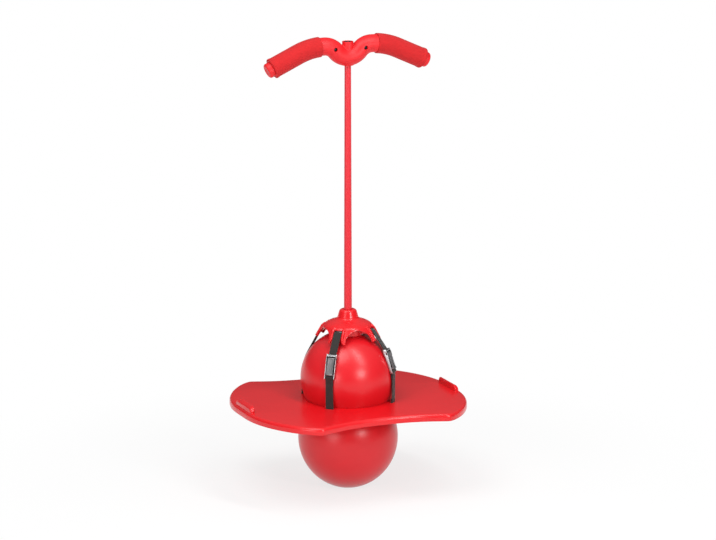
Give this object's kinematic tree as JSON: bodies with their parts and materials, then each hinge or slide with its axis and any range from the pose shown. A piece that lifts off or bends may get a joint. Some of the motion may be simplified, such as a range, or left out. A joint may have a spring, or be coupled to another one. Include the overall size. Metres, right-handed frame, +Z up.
{
  "type": "pogo ball",
  "caption": "Two-lobed bouncing ball with a standing deck round its waist, a strap crown on top and an elastic pull cord ending in a gull-wing handle.",
  "frame": {"origin": "centre of the ball's flat floor patch, on the floor", "axes": "+Z up along the cord, +X along the deck's long way from one foot to the other, +Y to the rear, away from the buckles"},
  "size_m": [0.46, 0.394, 0.9153],
  "materials": {
    "red_vinyl": "smooth moulded vinyl, soft gloss",
    "red_plastic": "moulded plastic, satin gloss",
    "red_cord": "smooth elastic cord, satin",
    "red_foam": "matt foam sleeve",
    "black_webbing": "flat woven webbing, matt",
    "steel": "pressed bright sheet steel",
    "lever_steel": "pressed grey sheet steel",
    "dark_steel": "dark oxide steel"
  },
  "bodies": {
    "base": {"ball": "red_vinyl", "valve_plug": "red_vinyl", "deck": "red_plastic", "cap": "red_plastic", "cap_pin_rear_right": "steel", "deck_pin_rear_right": "steel", "strap_rear_right": "black_webbing", "cap_pin_rear_left": "steel", "deck_pin_rear_left": "steel", "strap_rear_left": "black_webbing", "cap_pin_front_left": "steel", "deck_pin_front_left": "steel", "upper_strap_front_left": "black_webbing", "lower_strap_front_left": "black_webbing", "buckle_frame_front_left": "steel", "buckle_pin_front_left": "dark_steel", "cap_pin_front_right": "steel", "deck_pin_front_right": "steel", "upper_strap_front_right": "black_webbing", "lower_strap_front_right": "black_webbing", "buckle_frame_front_right": "steel", "buckle_pin_front_right": "dark_steel", "pull_cord": "red_cord", "cord_washer_lower": "steel", "cord_plug_lower": "dark_steel"},
    "cord_head": {"cord_plug_upper": "dark_steel", "cord_washer_upper": "steel"},
    "handle": {"handle_front_shell": "red_plastic", "handle_rear_shell": "red_plastic", "handle_screw_left": "dark_steel", "handle_screw_right": "dark_steel", "grip_left": "red_foam", "grip_right": "red_foam", "end_plug_left": "red_plastic", "end_plug_right": "red_plastic"},
    "lever_left": {"buckle_lever_front_left": "lever_steel"},
    "lever_right": {"buckle_lever_front_right": "lever_steel"}
  },
  "joints": [
    {"name": "handle_pull", "type": "slide", "parent": "base", "child": "cord_head", "axis": [0, 0, 1], "range_m": [0, 0.15], "stiffness_N_per_m": 250, "deforming": ["pull_cord"]},
    {"name": "handle_swivel", "type": "hinge", "parent": "cord_head", "child": "handle", "pos_m": [0, 0, 0.872], "axis": [0, 0, 1], "continuous": true},
    {"name": "buckle_left_open", "type": "hinge", "parent": "base", "child": "lever_left", "pos_m": [-0.06133, -0.06133, 0.28186], "axis": [-0.7071, 0.7071, 0], "range_deg": [0, 70], "stiffness_Nm_per_rad": 0.05, "springref_deg": -11.46},
    {"name": "buckle_right_open", "type": "hinge", "parent": "base", "child": "lever_right", "pos_m": [0.06133, -0.06133, 0.28186], "axis": [-0.7071, -0.7071, 0], "range_deg": [0, 70], "stiffness_Nm_per_rad": 0.05, "springref_deg": -11.46}
  ]
}
